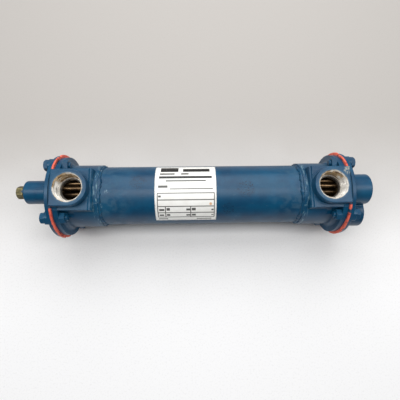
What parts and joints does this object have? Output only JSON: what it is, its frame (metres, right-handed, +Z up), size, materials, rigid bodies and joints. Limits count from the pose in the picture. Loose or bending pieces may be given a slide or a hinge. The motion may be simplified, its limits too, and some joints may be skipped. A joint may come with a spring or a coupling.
{
  "type": "shell and tube heat exchanger",
  "caption": "Straight round heat exchanger lying on its end flanges, with two threaded ports on top, bolted end covers, a plug at one end and two nozzles at the other.",
  "frame": {"origin": "middle of the overall length, on the shell's centre line seen from above, at the level the flanges rest on", "axes": "+X along the shell from the plug end to the nozzle end, +Z up along the two shell ports, -Y towards the front nozzle"},
  "size_m": [0.4378, 0.11, 0.1095],
  "materials": {
    "painted_shell": "blue enamel over brass tube, worn and mottled",
    "painted_hub": "blue enamel over a forged brass hub, bare thread in the port",
    "painted_braze": "blue enamel over a lumpy brazed bead",
    "painted_casting": "blue enamel over cast iron",
    "painted_fastener": "blue enamel over steel",
    "gasket": "red sheet gasket with a rough cut edge",
    "tube_plate": "dull brass",
    "tube": "dull copper alloy tube",
    "plug": "tarnished brass",
    "anode": "dull grey zinc",
    "label": "white label without lettering"
  },
  "bodies": {
    "root": {"anode_plug": "plug", "anode_rod": "anode", "baffle_1": "tube_plate", "baffle_2": "tube_plate", "baffle_3": "tube_plate", "baffle_4": "tube_plate", "baffle_5": "tube_plate", "bolt_left_1": "painted_fastener", "bolt_left_2": "painted_fastener", "bolt_left_3": "painted_fastener", "bolt_left_4": "painted_fastener", "bolt_right_1": "painted_fastener", "bolt_right_2": "painted_fastener", "bolt_right_3": "painted_fastener", "bolt_right_4": "painted_fastener", "bonnet_left": "painted_casting", "bonnet_right": "painted_casting", "braze_left": "painted_braze", "braze_right": "painted_braze", "gasket_left": "gasket", "gasket_right": "gasket", "hub_left": "painted_hub", "hub_right": "painted_hub", "nameplate": "label", "nut_left_1": "painted_fastener", "nut_left_2": "painted_fastener", "nut_left_3": "painted_fastener", "nut_left_4": "painted_fastener", "nut_right_1": "painted_fastener", "nut_right_2": "painted_fastener", "nut_right_3": "painted_fastener", "nut_right_4": "painted_fastener", "shell": "painted_shell", "tube_bundle": "tube", "tubesheet_left": "tube_plate", "tubesheet_right": "tube_plate"}
  },
  "joints": []
}
